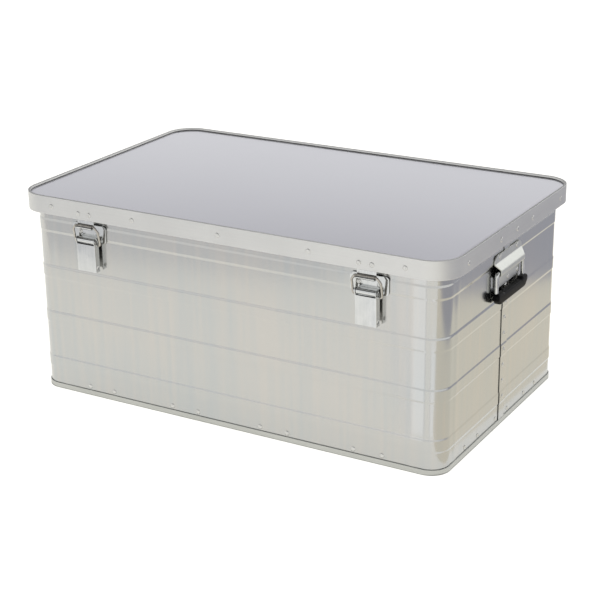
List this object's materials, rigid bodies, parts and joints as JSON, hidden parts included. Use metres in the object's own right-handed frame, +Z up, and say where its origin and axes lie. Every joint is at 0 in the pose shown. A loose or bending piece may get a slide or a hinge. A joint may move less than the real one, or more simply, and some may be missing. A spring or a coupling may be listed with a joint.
{
  "type": "flight case",
  "caption": "Sheet-aluminium flight case with swaged walls, an overhanging framed lid on rear hinges, front draw latches and drop handles on the short sides.",
  "frame": {"origin": "centre of the footprint, on the surface the case stands on", "axes": "+X along the long side to the right as seen from the latches, +Y from the latches to the hinges, +Z up"},
  "size_m": [0.5842, 0.3733, 0.258],
  "materials": {
    "wall_aluminium": "rolled bright sheet",
    "panel_aluminium": "satin rolled sheet",
    "profile_aluminium": "satin extruded profile",
    "rivet_aluminium": "bright set rivets",
    "latch_zinc": "bright zinc-plated steel",
    "wire_zinc": "bright zinc-plated wire",
    "grip_plastic": "fine moulded texture",
    "seal_rubber": "matt extruded strip"
  },
  "bodies": {
    "case_body": {"front_shell": "wall_aluminium", "rear_shell": "wall_aluminium", "base_pan": "panel_aluminium", "base_profile": "profile_aluminium", "rim_profile": "profile_aluminium", "base_rivets": "rivet_aluminium", "seam_rivets": "rivet_aluminium", "latch_base_plate_left": "latch_zinc", "latch_base_plate_right": "latch_zinc", "latch_pivot_pin_left": "latch_zinc", "latch_pivot_pin_right": "latch_zinc", "latch_plate_rivets": "rivet_aluminium", "handle_plate_left": "latch_zinc", "handle_plate_right": "latch_zinc", "handle_rivets": "rivet_aluminium", "hinge_body_leaf_left": "latch_zinc", "hinge_body_leaf_right": "latch_zinc", "hinge_pin_left": "latch_zinc", "hinge_pin_right": "latch_zinc", "hinge_body_rivets": "rivet_aluminium"},
    "lid": {"lid_frame": "profile_aluminium", "lid_panel": "panel_aluminium", "lid_seal": "seal_rubber", "lid_frame_rivets": "rivet_aluminium", "latch_catch_left": "latch_zinc", "latch_catch_right": "latch_zinc", "catch_rivets": "rivet_aluminium", "hinge_lid_leaf_left": "latch_zinc", "hinge_lid_leaf_right": "latch_zinc", "hinge_lid_rivets": "rivet_aluminium"},
    "lever_left": {"latch_lever_left": "latch_zinc"},
    "sleeve_left": {"latch_bail_sleeve_left": "latch_zinc"},
    "bail_left": {"latch_bail_left": "wire_zinc"},
    "handle_left": {"handle_rod_left": "wire_zinc", "handle_grip_left": "grip_plastic"},
    "lever_right": {"latch_lever_right": "latch_zinc"},
    "sleeve_right": {"latch_bail_sleeve_right": "latch_zinc"},
    "bail_right": {"latch_bail_right": "wire_zinc"},
    "handle_right": {"handle_rod_right": "wire_zinc", "handle_grip_right": "grip_plastic"}
  },
  "joints": [
    {"name": "lid_hinge", "type": "hinge", "parent": "case_body", "child": "lid", "pos_m": [0, 0.18565, 0.2305], "axis": [-1, 0, 0], "range_deg": [0, 100]},
    {"name": "latch_left_lever", "type": "hinge", "parent": "case_body", "child": "lever_left", "pos_m": [-0.19, -0.1787, 0.2095], "axis": [-1, 0, 0], "range_deg": [0, 110]},
    {"name": "latch_left_bail_tilt", "type": "hinge", "parent": "lever_left", "child": "sleeve_left", "pos_m": [-0.19, -0.17584, 0.20425], "axis": [-1, 0, 0], "range_deg": [-88, 0]},
    {"name": "latch_left_bail_swing", "type": "hinge", "parent": "sleeve_left", "child": "bail_left", "pos_m": [-0.19, -0.17584, 0.20425], "axis": [-1, 0, 0], "range_deg": [-90, 0]},
    {"name": "handle_left_swing", "type": "hinge", "parent": "case_body", "child": "handle_left", "pos_m": [-0.2835, 0, 0.2015], "axis": [0, 1, 0], "range_deg": [0, 90]},
    {"name": "latch_right_lever", "type": "hinge", "parent": "case_body", "child": "lever_right", "pos_m": [0.19, -0.1787, 0.2095], "axis": [-1, 0, 0], "range_deg": [0, 110]},
    {"name": "latch_right_bail_tilt", "type": "hinge", "parent": "lever_right", "child": "sleeve_right", "pos_m": [0.19, -0.17584, 0.20425], "axis": [-1, 0, 0], "range_deg": [-88, 0]},
    {"name": "latch_right_bail_swing", "type": "hinge", "parent": "sleeve_right", "child": "bail_right", "pos_m": [0.19, -0.17584, 0.20425], "axis": [-1, 0, 0], "range_deg": [-90, 0]},
    {"name": "handle_right_swing", "type": "hinge", "parent": "case_body", "child": "handle_right", "pos_m": [0.2835, 0, 0.2015], "axis": [0, -1, 0], "range_deg": [0, 90]}
  ],
  "couplings": [
    {"joint": "latch_left_bail_tilt", "follows": "latch_left_lever", "ratio": -0.8},
    {"joint": "latch_right_bail_tilt", "follows": "latch_right_lever", "ratio": -0.8}
  ]
}
